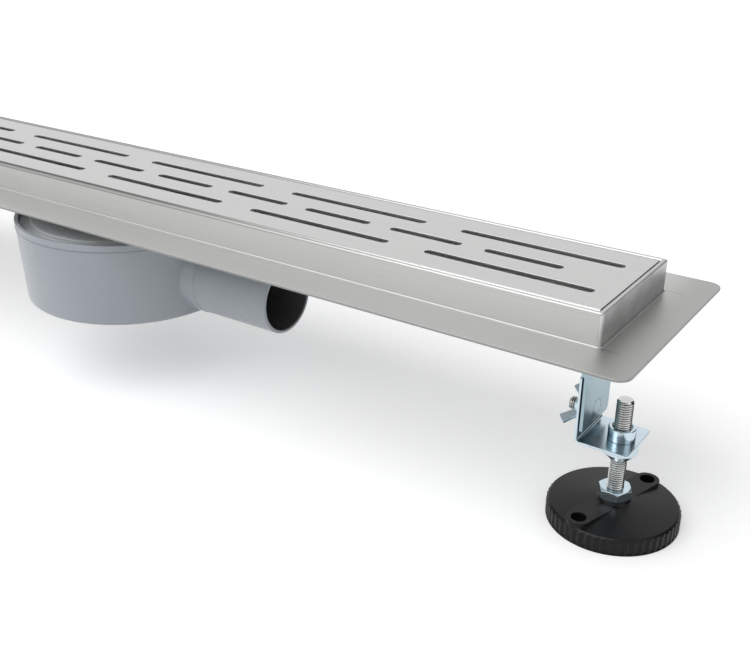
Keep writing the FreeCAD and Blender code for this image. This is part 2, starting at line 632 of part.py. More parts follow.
def make_oring():
    """Round-section ring seal in the insert's groove."""
    body = new_body("insert_seal")
    section = new_sketch(body, "SealSection", "XZ_Plane")
    circle(section, f"{BARREL_INNER} - oring_play - oring_thickness / 2",
           f"{LEDGE_TOP} + insert_ring_height / 2",
           "oring_thickness / 2")
    turned(body, section, "Seal")
    return body


def make_cup():
    """Water cup round the dip tube, held to it by fins inside."""
    body = new_body("seal_cup")
    foot = f"({POT_FLOOR} + cup_foot_gap)"
    section = new_sketch(body, "CupSection", "XZ_Plane")
    outline(section, [
        ("0", foot), ("cup_radius - cup_edge", foot), ("cup_radius", f"{foot} + cup_edge"),
        ("cup_radius", "-cup_rim_drop"), ("cup_radius - cup_wall", "-cup_rim_drop"),
        ("cup_radius - cup_wall", f"{foot} + cup_wall + cup_edge / 2"),
        ("cup_radius - cup_wall - cup_edge / 2", f"{foot} + cup_wall"), ("0", f"{foot} + cup_wall"),
    ])
    turned(body, section, "Cup")
    fin_top = "(-cup_rim_drop - cup_fin_drop)"
    fin = new_sketch(body, "FinOutline", "XZ_Plane", "-cup_wall / 2")
    rectangle(fin, "tube_radius + cup_fin_gap", f"{foot} + cup_wall / 2",
              "cup_radius - cup_wall / 2", fin_top)
    solid = pad(body, fin, "cup_wall", "Fin")
    around = new_sketch(body, "FinAxis", "XY_Plane")
    in_ring(body, [solid], around, "cup_fin_count", "Fins")
    return body


def make_strainer():
    """Pierced disc with a grip, lying on the insert's ring."""
    body = new_body("hair_strainer")
    radius = f"({BARREL_INNER} - strainer_gap)"
    top = f"({INSERT_TOP} + strainer_sheet)"
    section = new_sketch(body, "StrainerSection", "XZ_Plane")
    outline(section, [
        ("0", INSERT_TOP), (radius, INSERT_TOP), (radius, top), ("strainer_knob_radius", top),
        ("strainer_knob_waist", f"{top} + strainer_knob_height / 2"),
        ("strainer_knob_radius", f"{top} + strainer_knob_height"), ("0", f"{top} + strainer_knob_height"),
    ])
    turned(body, section, "Disc")
    inner = new_sketch(body, "InnerHole", "XY_Plane", top)
    circle(inner, "strainer_inner_ring", "0", "strainer_hole_radius")
    cut = pocket(body, inner, "strainer_sheet + overlap", "InnerHoleCut")
    in_ring(body, [cut], inner, "strainer_ring_count", "InnerHoles")
    outer = new_sketch(body, "OuterHole", "XY_Plane", top)
    circle(outer, "strainer_outer_ring", "0", "strainer_hole_radius")
    cut = pocket(body, outer, "strainer_sheet + overlap", "OuterHoleCut")
    in_ring(body, [cut], outer, "2 * strainer_ring_count", "OuterHoles")
    return body


# Legs: each piece is drawn with the height stud's axis as its origin, the floor at zero height
# and the drain's end towards +X, then set at its end of the drain.
UNDERSIDE = "(rim_height - trough_depth)"
HEAD_FOOT = f"({UNDERSIDE} - head_height)"
CLAMP_HEIGHT = "(rim_height - clamp_drop)"
PLATE_TOP = "(rim_height - plate_drop)"
TONGUE_BACK = "(-hanger_face - hanger_sheet)"
LEG_FRONT = f"({TONGUE_BACK} - bracket_gap)"
LEG_BACK = f"({LEG_FRONT} - bracket_sheet)"
SLOT_HALF = "(clamp_radius + clamp_play)"
NUT_FOOT = "foot_boss_height"


def make_hanger(side):
    """Hanger: head bar under the channel with a flat tongue, and a flush seat for the clamp stud."""
    body = new_body("hanger_" + side)
    section = new_sketch(body, "HangerSection", "XZ_Plane", "-hanger_width / 2")
    head_front = "(-hanger_face + head_proud)"
    foot = f"({CLAMP_HEIGHT} - tongue_margin)"
    outline(section, [
        (TONGUE_BACK, foot), ("-hanger_face", foot), ("-hanger_face", HEAD_FOOT), (head_front, HEAD_FOOT),
        (head_front, UNDERSIDE), (f"{head_front} - head_width", UNDERSIDE),
        (f"{head_front} - head_width", HEAD_FOOT), (TONGUE_BACK, HEAD_FOOT),
    ])
    solid = pad(body, section, "hanger_width", "Section")
    low = size(foot)

    def lower_corner(edge):
        box = edge.BoundBox
        return is_level(edge, low) and box.YLength < 0.01 and box.XLength > 0.01
    dress(body, "Fillet", solid, lower_corner, "tongue_corner", "TongueCorners")
    seat = new_sketch(body, "StudSeat", "YZ_Plane", "-hanger_face + overlap")
    circle(seat, "0", CLAMP_HEIGHT, "clamp_head_radius + clamp_head_play")
    pocket(body, seat, "clamp_head_height + overlap", "HeadSeat")
    hole = new_sketch(body, "StudHole", "YZ_Plane", "-hanger_face + overlap")
    circle(hole, "0", CLAMP_HEIGHT, "clamp_radius + clamp_head_play")
    pocket(body, hole, "hanger_sheet + 2 * overlap", "ShankHole")
    return body


def make_bracket(side):
    """Folded bracket: slotted upright leg and a level foot that holds the threaded bush."""
    body = new_body("bracket_" + side)
    section = new_sketch(body, "BracketSection", "XZ_Plane", "-bracket_width / 2")
    top = f"({HEAD_FOOT} - bracket_stop_gap)"
    under = f"({PLATE_TOP} - bracket_sheet)"
    outline(section, [
        (LEG_BACK, under), ("bracket_toe", under), ("bracket_toe", PLATE_TOP),
        (LEG_FRONT, PLATE_TOP), (LEG_FRONT, top), (LEG_BACK, top),
    ])
    solid = pad(body, section, "bracket_width", "FoldedSheet")
    back, front, low, high = size(LEG_BACK), size(LEG_FRONT), size(under), size(PLATE_TOP)

    def bend(edge, x, z):
        box = edge.BoundBox
        across = box.YLength > 1 and abs(box.XMin - x) < 0.01 and abs(box.XMax - x) < 0.01
        return across and abs(box.ZMin - z) < 0.01 and abs(box.ZMax - z) < 0.01
    solid = dress(body, "Fillet", solid, lambda e: bend(e, back, low), "bracket_bend", "OuterBend")
    solid = dress(body, "Fillet", solid, lambda e: bend(e, front, high),
                  "bracket_bend - bracket_sheet", "InnerBend")
    toe, crest = size("bracket_toe"), size(top)

    def free_corner(edge):
        box = edge.BoundBox
        at_toe = is_upright(edge) and abs(box.XMin - toe) < 0.01
        at_crest = is_level(edge, crest) and box.YLength < 0.01
        return at_toe or at_crest
    dress(body, "Fillet", solid, free_corner, "bracket_corner", "Corners")
    hole = new_sketch(body, "BushHole", "XY_Plane", f"{PLATE_TOP} + overlap")
    circle(hole, "0", "0", "bush_neck_radius")
    pocket(body, hole, "bracket_sheet + 2 * overlap", "BushSeat")
    slot = new_sketch(body, "HeightSlot", "YZ_Plane", f"{LEG_FRONT} + overlap")
    low_end = f"({CLAMP_HEIGHT} - {SLOT_HALF})"
    high_end = f"({CLAMP_HEIGHT} + bracket_travel + {SLOT_HALF})"
    rectangle(slot, f"-{SLOT_HALF}", low_end, SLOT_HALF, high_end)
    cut = pocket(body, slot, "bracket_sheet + 2 * overlap", "Slot")
    ends = (size(low_end), size(high_end))

    def slot_corner(edge):
        box = edge.BoundBox
        through = box.XLength > 0.01 and box.YLength < 0.01 and box.ZLength < 0.01
        return through and min(abs(box.ZMin - z) for z in ends) < 0.01
    dress(body, "Fillet", cut, slot_corner, f"{SLOT_HALF} * 0.98", "SlotEnds")
    return body


def make_clamp_stud(side):
    """Flush-headed clamp stud, pressed into the tongue; its axis is the body's Z."""
    body = new_body("clamp_stud_" + side)
    section = new_sketch(body, "StudSection", "XZ_Plane")
    outline(section, [
        ("0", "0"), ("clamp_head_radius", "0"), ("clamp_head_radius", "clamp_head_height"),
        ("clamp_radius", "clamp_head_height"), ("clamp_radius", "clamp_reach - clamp_chamfer"),
        ("clamp_radius - clamp_chamfer", "clamp_reach"), ("0", "clamp_reach"),
    ])
    turned(body, section, "Stud")
    return body


def make_washer(side):
    body = new_body("washer_" + side)
    section = new_sketch(body, "WasherSection", "XZ_Plane")
    rectangle(section, "clamp_radius + clamp_play", "0", "washer_radius", "washer_thickness")
    ring = turned(body, section, "Washer")
    rim = size("washer_radius")
    dress(body, "Chamfer", ring, lambda e: e.BoundBox.XMax > rim - 0.01 and e.BoundBox.ZLength < 0.01,
          "washer_chamfer", "Edges")
    return body


def make_wing_nut(side):
    """Wing nut: tapered hub with two wings that lean outwards; its axis is the body's Z."""
    body = new_body("wing_nut_" + side)
    section = new_sketch(body, "HubSection", "XZ_Plane")
    outline(section, [
        ("0", "0"), ("wing_hub_radius", "0"), ("wing_hub_radius", "wing_hub_band"),
        ("wing_hub_top_radius", "wing_hub_height"), ("0", "wing_hub_height"),
    ])
    turned(body, section, "Hub")
    wing = new_sketch(body, "WingOutline", "XZ_Plane", "-wing_thickness / 2")
    far_x, far_z = "(wing_reach - wing_width * cos(wing_lean))", "wing_height"
    near_z = "(wing_height - wing_width * sin(wing_lean))"
    root, root_z = "wing_root", "wing_foot"
    crotch_z = f"{far_z} - ({far_x} - {root}) / tan(wing_lean)"
    for way in ("", "-"):
        outline(wing, [
            (way + root, root_z), (way + "wing_hub_radius", root_z), (way + "wing_reach", near_z),
            (way + far_x, far_z), (way + root, crotch_z),
        ])
    solid = pad(body, wing, "wing_thickness", "Wings")
    tips = (size(near_z), size(far_z))

    def tip(edge):
        box = edge.BoundBox
        across = box.YLength > 1 and box.XLength < 0.01 and box.ZLength < 0.01
        return across and min(abs(box.ZMin - z) for z in tips) < 0.01
    dress(body, "Fillet", solid, tip, "wing_tip_radius", "WingTips")
    bore = new_sketch(body, "HubBore", "XY_Plane", "wing_height + overlap")
    circle(bore, "0", "0", "clamp_radius + stud_play")
    pocket(body, bore, "wing_height + 2 * overlap", "ThreadBore")
    return body


def make_bush(side):
    """Threaded bush pressed into the bracket: plain barrel above the plate, skirt and cone below it."""
    body = new_body("threaded_bush_" + side)
    under, top = f"({PLATE_TOP} - bracket_sheet)", f"({PLATE_TOP} + bush_height)"
    bore = "(stud_radius + stud_play)"
    section = new_sketch(body, "BushSection", "XZ_Plane")
    outline(section, [
        (bore, f"{under} - bush_cone_height"), ("bush_cone_tip_radius", f"{under} - bush_cone_height"),
        ("bush_skirt_radius", f"{under} - bush_skirt_height"), ("bush_skirt_radius", under),
        ("bush_neck_radius", under), ("bush_neck_radius", PLATE_TOP), ("bush_radius", PLATE_TOP),
        ("bush_radius", f"{top} - bush_edge"), ("bush_radius - bush_edge", top),
        (f"{bore} + bush_mouth", top), (bore, f"{top} - bush_mouth"),
    ])
    turned(body, section, "Bush")
    return body


def make_height_stud(side):
    """Height stud: plain at the thread's outer size, chamfered at both ends."""
    body = new_body("height_stud_" + side)
    low, high = "stud_socket_floor", f"({PLATE_TOP} + stud_rise)"
    section = new_sketch(body, "StudSection", "XZ_Plane")
    outline(section, [
        ("0", low), ("stud_radius - stud_chamfer", low), ("stud_radius", f"{low} + stud_chamfer"),
        ("stud_radius", f"{high} - stud_chamfer"), ("stud_radius - stud_chamfer", high), ("0", high),
    ])
    turned(body, section, "Stud")
    return body


def make_hex_nut(side):
    """Thin hexagon nut, chamfered on both faces, jammed down on the foot."""
    body = new_body("hex_nut_" + side)
    hexagon = new_sketch(body, "Hexagon", "XY_Plane", NUT_FOOT)
    corner = f"(nut_flats / {math.sqrt(3):.6f})"
    outline(hexagon, [(f"{corner} * cos({60 * k})", f"{corner} * sin({60 * k})") for k in range(6)])
    pad(body, hexagon, "nut_height", "Prism")
    face_radius, beyond = "(nut_flats / 2 * nut_face)", f"({corner} + overlap)"
    for face, sign in ((NUT_FOOT, 1), (f"({NUT_FOOT} + nut_height)", -1)):
        chamfer = new_sketch(body, "Chamfer" + ("Low" if sign > 0 else "High"), "XZ_Plane")
        away, fall = f"({face} - {sign} * overlap)", f"({beyond} * nut_bevel)"
        outline(chamfer, [
            (face_radius, face), (beyond, f"{face} + {sign} * {fall}"), (beyond, away), (face_radius, away),
        ])
        turned(body, chamfer, "Bevel" + ("Low" if sign > 0 else "High"), "Groove")
    bore = new_sketch(body, "NutBore", "XY_Plane", f"{NUT_FOOT} + nut_height + overlap")
    circle(bore, "0", "0", "stud_radius + stud_play")
    pocket(body, bore, "nut_height + 2 * overlap", "ThreadBore")
    return body


def make_foot(side):
    """Moulded foot: fluted rim, gently crowned top, raised bar with two screw holes, ribs below."""
    body = new_body("foot_" + side)
    outside = new_sketch(body, "FootOutside", "XZ_Plane")
    outline(outside, [
        ("0", "0"), ("foot_radius", "0"), ("foot_radius", "foot_rim_height - foot_shoulder"),
        ("foot_radius - foot_shoulder", "foot_rim_height"), ("foot_bow_radius", "foot_crown - foot_bow"),
        ("foot_boss_radius + foot_boss_flare", "foot_crown"), ("foot_boss_radius", "foot_boss_height"),
        ("0", "foot_boss_height"),
    ])
    turned(body, outside, "Blank")
    flute = new_sketch(body, "Flute", "XY_Plane", "flute_foot")
    circle(flute, "foot_radius - flute_depth + flute_radius", "0", "flute_radius")
    cut = pocket(body, flute, "foot_rim_height + overlap", "FluteCut", upwards=True)
    in_ring(body, [cut], flute, "flute_count", "Flutes")
    bar = new_sketch(body, "BarOutline", "XY_Plane", "foot_wall")
    obround(bar, "0", "0", "foot_hole_pitch + 2 * (foot_hole_radius + foot_bar_margin)", "foot_bar_width")
    pad(body, bar, "foot_bar_height - foot_wall", "Bar")
    inside = new_sketch(body, "FootInside", "XZ_Plane")
    under, wall = "(foot_rim_height - foot_roof)", "(foot_radius - flute_depth - foot_wall)"
    outline(inside, [
        ("foot_boss_radius", "-overlap"), (wall, "-overlap"), (wall, under),
        ("foot_boss_radius", f"{under} + foot_roof_rise"),
    ])
    turned(body, inside, "UnderHollow", "Groove")
    rib = new_sketch(body, "RibOutline", "XZ_Plane", "-foot_wall / 2")
    rectangle(rib, "foot_boss_radius - foot_rib_bite", "foot_rib_gap", f"{wall} + foot_rib_bite",
              f"{under} + foot_rib_bite")
    solid = pad(body, rib, "foot_wall", "Rib")
    around = new_sketch(body, "RibAxis", "XY_Plane")
    in_ring(body, [solid], around, "foot_rib_count", "Ribs")
    eyes = new_sketch(body, "Eyes", "XY_Plane")
    for way in ("-", ""):
        circle(eyes, f"{way}foot_hole_pitch / 2", "0", "foot_hole_radius + foot_wall")
    pad(body, eyes, "foot_bar_height - foot_eye_drop", "EyeWalls")
    holes = new_sketch(body, "ScrewHoles", "XY_Plane", "foot_boss_height")
    for way in ("-", ""):
        circle(holes, f"{way}foot_hole_pitch / 2", "0", "foot_hole_radius")
    pocket(body, holes, "foot_boss_height + overlap", "ScrewHoleCut")
    socket = new_sketch(body, "StudSocket", "XY_Plane", "foot_boss_height + overlap")
    circle(socket, "0", "0", "stud_radius")
    pocket(body, socket, "foot_boss_height + overlap - stud_socket_floor", "Socket")
    return body


def turn(axis, degrees):
    return FreeCAD.Rotation(Vector(*axis), degrees)


def seat(body, x, z, rotation=FreeCAD.Rotation()):
    body.Placement = FreeCAD.Placement(Vector(0, 0, 0), rotation)
    bind(body, "Placement.Base.x", x)
    bind(body, "Placement.Base.z", z)


sub_parts = []
for body in (make_channel(), make_cover()):
    seat(body, "0", "rim_height")
    sub_parts.append(body)

gasket = make_ring("trap_gasket", "gasket_radius - gasket_width", "gasket_radius",
                   "-trough_depth - gasket_thickness", "-trough_depth")
for body in (make_pot(), make_lid(), gasket, make_collar(), make_insert(), make_oring(), make_cup(),
             make_strainer()):
    seat(body, "trap_offset", "rim_height")
    sub_parts.append(body)

STUD_X = "(trough_length / 2 + stud_overhang)"
for side, sign, heading in (("right", "", turn((0, 0, 1), 0)), ("left", "-", turn((0, 0, 1), 180))):
    for make, turning in ((make_hanger, 0), (make_bracket, 0), (make_bush, 0), (make_height_stud, 0),
                          (make_hex_nut, 0), (make_foot, size("foot_turn"))):
        body = make(side)
        seat(body, f"{sign}{STUD_X}", "0", heading.multiply(turn((0, 0, 1), turning)))
        sub_parts.append(body)
    # The clamp pieces' own Z points inwards, along the drain
    inwards = heading.multiply(turn((0, 1, 0), -90))
    wings = inwards.multiply(turn((0, 0, 1), 90 - size("wing_angle")))
    behind = f"({LEG_BACK} - washer_gap)"
    for make, x, rotation in ((make_clamp_stud, "-hanger_face", inwards), (make_washer, behind, inwards),
                              (make_wing_nut, f"{behind} - washer_thickness", wings)):
        body = make(side)
        seat(body, f"{sign}({STUD_X} + ({x}))", CLAMP_HEIGHT, rotation)
        sub_parts.append(body)

document.recompute()
for thing in document.Objects:
    if "Invalid" in thing.State or "Error" in thing.State:
        raise ValueError(f"{thing.Label} failed: {thing.State}")
for body in sub_parts:
    if body.Shape.isNull() or not body.Shape.isValid():
        raise ValueError(f"{body.Label} has no valid shape")

os.makedirs("parts", exist_ok=True)
for body in sub_parts:
    body.Shape.exportStep(f"parts/{body.Label}.step")
    print(body.Label, len(body.Shape.Solids), round(body.Shape.Volume))
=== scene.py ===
import math
import bmesh
import bpy
from mathutils import Matrix, Vector
from mathutils.bvhtree import BVHTree


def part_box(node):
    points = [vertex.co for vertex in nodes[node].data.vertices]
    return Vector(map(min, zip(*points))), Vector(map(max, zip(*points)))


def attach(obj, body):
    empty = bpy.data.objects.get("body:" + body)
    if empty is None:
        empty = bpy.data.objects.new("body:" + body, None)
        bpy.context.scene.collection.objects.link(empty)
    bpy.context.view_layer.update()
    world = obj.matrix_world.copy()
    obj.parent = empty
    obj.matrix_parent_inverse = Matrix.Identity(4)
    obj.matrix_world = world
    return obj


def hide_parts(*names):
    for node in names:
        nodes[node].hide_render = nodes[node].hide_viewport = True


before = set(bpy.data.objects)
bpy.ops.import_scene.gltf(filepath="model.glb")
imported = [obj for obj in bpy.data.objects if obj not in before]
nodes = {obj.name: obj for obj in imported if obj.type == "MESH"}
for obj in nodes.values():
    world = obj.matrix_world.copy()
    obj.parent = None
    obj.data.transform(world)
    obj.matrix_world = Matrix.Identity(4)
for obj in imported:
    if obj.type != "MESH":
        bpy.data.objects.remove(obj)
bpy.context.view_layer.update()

# CHANNEL
# A long trough folded from 1.5 mm stainless sheet, with a doubled rim, a level tiling flange all
# round and welded, ground corners. The long sides are brushed lengthwise, the ends across. Its
# upright corners carry a painted highlight; its flange, fold and rims carry painted shade.

# Lengths in metres: heights above the floor, and distances from the drain's middle
FLANGE_TOP = 0.1305
FLANGE_EDGE_HEIGHTS = (FLANGE_TOP - 0.0014, FLANGE_TOP - 0.0002)
FOLD_HEIGHTS = (FLANGE_TOP, FLANGE_TOP + 0.0014)
CORNER_HIGHLIGHT_HEIGHTS = (0.1322, 0.1480)
RIM_HEIGHTS = (0.1484, 0.1505)
RIM_ACROSS = (0.0440, 0.0480)
INNER_RIM_ACROSS = (0.0440, 0.0461)
DARK_RIM_FADE = (0.04, 0.33)
FLANGE_SHADE_FADE = (0.392, 0.416)
FLANGE_WELD_ALONG = (0.4005, 0.4090)
FLANGE_WELD_ACROSS = (0.0474, 0.0476)
NEAR_SIDE_FADE = (-0.01, 0)

# How far a surface faces along one axis, from zero to one
ON_END = (0.6, 0.8)
ON_CORNER = (0.35, 0.65)
ON_CUT_EDGE = (0, 0.5)
ON_FOLD = (0.1, 0.97)
LEVEL = (0.9, 0.98)

CHANNEL_DARK, CHANNEL_LIGHT = (0.515, 0.515, 0.508), (0.55, 0.55, 0.542)
CROSS_GROUND_END = (0.50, 0.50, 0.497)
FLANGE_END_SHADE = (0.41, 0.41, 0.403)
FOLD_SHADE = (0.41, 0.41, 0.405)
CORNER_HIGHLIGHT = (0.80, 0.80, 0.79)
FLANGE_EDGE_SHADE = (0.30, 0.30, 0.295)
FLUSH_WELD = (0.27, 0.27, 0.265)
SHADED_RIM = (0.30, 0.30, 0.295)
SHADED_GAP = (0.11, 0.11, 0.108)

# Scales of the noise along each axis, and depths of the relief
LENGTHWISE_BRUSHING = (14, 1500, 1500)
CROSSWISE_BRUSHING = (1500, 30, 1500)
BRUSHING_DEPTH = 0.000006
SHEET_WAVES = (5, 16, 22)
WAVE_DEPTH = 0.00025
END_CLOUDS = (40, 60, 110)
CLOUD_EDGES = (0.35, 0.65)
CLOUD_BRIGHTNESS = 1.2

SAME_POINT = 2e-6
FLAT_WITHIN_DEGREES = 0.6
# How far a bevel may move a corner, as a part of its width
FARTHEST_CORNER = 1.2


def material_for(name):
    """A new material with its node tree and its main shader."""
    material = bpy.data.materials.new(name)
    material.use_nodes = True
    tree = material.node_tree
    return material, tree, tree.nodes["Principled BSDF"]


def position(tree):
    """Where the surface lies in the piece's own coordinates."""
    return tree.nodes.new("ShaderNodeTexCoord").outputs["Object"]


def facing(tree):
    """Which way the surface faces."""
    return tree.nodes.new("ShaderNodeNewGeometry").outputs["True Normal"]


def parts(tree, vector):
    """The three parts of a vector."""
    split = tree.nodes.new("ShaderNodeSeparateXYZ")
    tree.links.new(vector, split.inputs["Vector"])
    return [split.outputs[axis] for axis in "XYZ"]


def sizes(tree, vector):
    """The three parts of a vector, each without its sign."""
    found = []
    for part in parts(tree, vector):
        plain = tree.nodes.new("ShaderNodeMath")
        plain.operation = "ABSOLUTE"
        tree.links.new(part, plain.inputs[0])
        found.append(plain.outputs[0])
    return found


def grain(tree, stretch, detail=3.0):
    """Noise on object coordinates, stretched by a scale along each axis."""
    mapping = tree.nodes.new("ShaderNodeMapping")
    noise = tree.nodes.new("ShaderNodeTexNoise")
    mapping.inputs["Scale"].default_value = stretch
    noise.inputs["Scale"].default_value = 1.0
    noise.inputs["Detail"].default_value = detail
    tree.links.new(position(tree), mapping.inputs["Vector"])
    tree.links.new(mapping.outputs["Vector"], noise.inputs["Vector"])
    return noise.outputs["Fac"]


def remap(tree, value, low, high, start=0.3, end=0.7):
    """Goes softly from low to high while a value, noise by default, goes from start to end."""
    spread = tree.nodes.new("ShaderNodeMapRange")
    spread.interpolation_type = "SMOOTHSTEP"
    spread.inputs["From Min"].default_value = start
    spread.inputs["From Max"].default_value = end
    spread.inputs["To Min"].default_value = low
    spread.inputs["To Max"].default_value = high
    tree.links.new(value, spread.inputs["Value"])
    return spread.outputs["Result"]


def rising(tree, value, start, end):
    """A mask that goes from zero to one while a value goes from start to end."""
    return remap(tree, value, 0, 1, start, end)


def falling(tree, value, start, end):
    """A mask that goes from one to zero while a value goes from start to end."""
    return remap(tree, value, 1, 0, start, end)


def product(tree, *values):
    """Several values multiplied together."""
    result = values[0]
    for value in values[1:]:
        times = tree.nodes.new("ShaderNodeMath")
        times.operation = "MULTIPLY"
        tree.links.new(result, times.inputs[0])
        tree.links.new(value, times.inputs[1])
        result = times.outputs[0]
    return result


def within(tree, value, limits, *, fade):
    """One where a value lies between two others, fading out beside them."""
    low, high = limits
    return product(tree, rising(tree, value, low - fade, low),
                   falling(tree, value, high, high + fade))


def mixed(tree, factor, first, second, kind="RGBA"):
    """Mixes two things, each a plain colour or the output of a node, by a factor."""
    mix = tree.nodes.new("ShaderNodeMix")
    mix.data_type = kind
    tree.links.new(factor, mix.inputs["Factor"])
    for name, thing in (("A", first), ("B", second)):
        if isinstance(thing, bpy.types.NodeSocket):
            tree.links.new(thing, mix.inputs[name])
        else:
            mix.inputs[name].default_value = (*thing, 1)
    return mix.outputs["Result"]


def overlay(tree, factor, colour):
    """Lays another colour over the shader's own, where the factor is one."""
    base = tree.nodes["Principled BSDF"].inputs["Base Color"]
    tree.links.new(mixed(tree, factor, base.links[0].from_socket, colour), base)


def relief(tree, heights):
    """Bump nodes in a row, each a height value with its depth in metres."""
    normal = None
    for height, depth in heights:
        bump = tree.nodes.new("ShaderNodeBump")
        bump.inputs["Strength"].default_value = 1.0
        bump.inputs["Distance"].default_value = depth
        tree.links.new(height, bump.inputs["Height"])
        if normal:
            tree.links.new(normal, bump.inputs["Normal"])
        normal = bump.outputs["Normal"]
    return normal


def brushed_sheet(name, dark, light, rough, cap=None):
    """Stainless sheet: fine lengthwise grain, faint waves and, with a cap colour, ground ends."""
    material, tree, shader = material_for(name)
    shader.inputs["Metallic"].default_value = 1.0
    brushing = grain(tree, LENGTHWISE_BRUSHING)
    wave = grain(tree, SHEET_WAVES, detail=1.0)
    if cap:
        on_end = rising(tree, sizes(tree, facing(tree))[0], *ON_END)
        brushing = mixed(tree, on_end, brushing, grain(tree, CROSSWISE_BRUSHING), kind="FLOAT")
    colour = mixed(tree, remap(tree, brushing, 0, 1), dark, light)
    if cap:
        clouds = rising(tree, grain(tree, END_CLOUDS, detail=2.0), *CLOUD_EDGES)
        clouded = mixed(tree, clouds, cap, [CLOUD_BRIGHTNESS * part for part in cap])
        colour = mixed(tree, on_end, colour, clouded)
    tree.links.new(colour, shader.inputs["Base Color"])
    tree.links.new(remap(tree, brushing, rough - 0.03, rough + 0.04), shader.inputs["Roughness"])
    bumps = relief(tree, [(wave, WAVE_DEPTH), (brushing, BRUSHING_DEPTH)])
    tree.links.new(bumps, shader.inputs["Normal"])
    return material


def mesh_from(shape, name):
    """Turns a bmesh into a mesh of that name."""
    mesh = bpy.data.meshes.new(name)
    shape.to_mesh(mesh)
    shape.free()
    return mesh


def smooth(mesh, sharp_angle):
    """Smooth shading, except over edges sharper than an angle."""
    mesh.polygons.foreach_set("use_smooth", [True] * len(mesh.polygons))
    mesh.set_sharp_from_angle(angle=math.radians(sharp_angle))


def in_scene(name, content):
    """An object at the origin that holds a mesh, a lamp or a lens."""
    piece = bpy.data.objects.new(name, content)
    bpy.context.scene.collection.objects.link(piece)
    return piece


def softened(node, body, finish, width, angle=30, segments=2):
    """A copy of a CAD node that stands for it, with its sharp edges eased by a width."""
    shape = bmesh.new()
    shape.from_mesh(nodes[node].data)
    bmesh.ops.remove_doubles(shape, verts=shape.verts, dist=SAME_POINT)
    surface = BVHTree.FromBMesh(shape)
    bmesh.ops.dissolve_limit(shape, angle_limit=math.radians(FLAT_WITHIN_DEGREES),
                             verts=shape.verts, edges=shape.edges)
    sharp = [edge for edge in shape.edges
             if len(edge.link_faces) == 2 and edge.calc_face_angle() > math.radians(angle)]
    bmesh.ops.bevel(shape, geom=sharp, offset=width, offset_type="OFFSET", segments=segments,
                    profile=0.5, affect="EDGES", clamp_overlap=False, material=-1)
    # Where short edges meet, a bevel can throw a corner off the surface: it goes back
    for vertex in shape.verts:
        nearest, _, _, distance = surface.find_nearest(vertex.co)
        if distance > FARTHEST_CORNER * width:
            vertex.co = nearest
    mesh = mesh_from(shape, node + "_finished")
    piece = in_scene(node + "_finished", mesh)
    smooth(mesh, sharp_angle=40)
    flat_faces = piece.modifiers.new("flat_faces", "WEIGHTED_NORMAL")
    flat_faces.keep_sharp = True
    mesh.materials.clear()
    mesh.materials.append(finish)
    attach(piece, body)
    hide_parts(node)
    return piece


channel_steel = brushed_sheet("channel_stainless", CHANNEL_DARK, CHANNEL_LIGHT, rough=0.43,
                              cap=CROSS_GROUND_END)
tree = channel_steel.node_tree
out_along, out_across, height = sizes(tree, position(tree))
endwards, _, upwards = sizes(tree, facing(tree))
along, across, _ = parts(tree, position(tree))

# Painted shade: the flange is painted darker towards its ends and in its fold
below_top = falling(tree, height, FLANGE_TOP + 0.0001, FLANGE_TOP + 0.0005)
overlay(tree, product(tree, below_top, rising(tree, out_along, *FLANGE_SHADE_FADE)), FLANGE_END_SHADE)
# The upright corners are welded and ground; the bright line along them is a painted highlight
corner = product(tree, within(tree, endwards, ON_CORNER, fade=0.1),
                 within(tree, height, CORNER_HIGHLIGHT_HEIGHTS, fade=0.001))
overlay(tree, corner, CORNER_HIGHLIGHT)
# Painted shade: the flange's cut edge is painted darker
flange_edge_shade_mask = product(tree, within(tree, height, FLANGE_EDGE_HEIGHTS, fade=0.0001),
                   within(tree, upwards, ON_CUT_EDGE, fade=0.1))
overlay(tree, flange_edge_shade_mask, FLANGE_EDGE_SHADE)
# Painted shade in the fold between wall and flange, to damp its highlight
fold_shade_mask = product(tree, within(tree, height, FOLD_HEIGHTS, fade=0.0002),
               within(tree, upwards, ON_FOLD, fade=0.02))
overlay(tree, fold_shade_mask, FOLD_SHADE)
# Beside each corner a weld in the flange is ground flush
flush_weld = product(tree, rising(tree, upwards, *LEVEL),
                     within(tree, out_across, FLANGE_WELD_ACROSS, fade=0.0004),
                     within(tree, out_along, FLANGE_WELD_ALONG, fade=0.004))
overlay(tree, flush_weld, FLUSH_WELD)
# Painted shade: the folded rims of the long sides are painted darker towards the end without the
# outlet, and the near one most of all where it faces the cover
rim_shade_mask = product(tree, within(tree, height, RIM_HEIGHTS, fade=0.0002),
              within(tree, out_across, RIM_ACROSS, fade=0.0003),
              falling(tree, along, *DARK_RIM_FADE))
overlay(tree, rim_shade_mask, SHADED_RIM)
cover_gap_shade_mask = product(tree, rim_shade_mask, within(tree, out_across, INNER_RIM_ACROSS, fade=0.0003),
                       falling(tree, across, *NEAR_SIDE_FADE))
overlay(tree, cover_gap_shade_mask, SHADED_GAP)
channel = softened("channel_body", "channel", channel_steel, width=0.00022)

# SLOTTED COVER
# One stainless sheet with both long edges folded down, standing loose in the channel. Three rows
# of slots are cut through it; its top has a fine matt polish.

COVER_DARK, COVER_LIGHT = (0.57, 0.57, 0.565), (0.605, 0.605, 0.60)
BEND_ACROSS = (0.0395, 0.0405)
ON_BEND = (0.12, 0.4)

cover_steel = brushed_sheet("cover_stainless", COVER_DARK, COVER_LIGHT, rough=0.42)
tree = cover_steel.node_tree
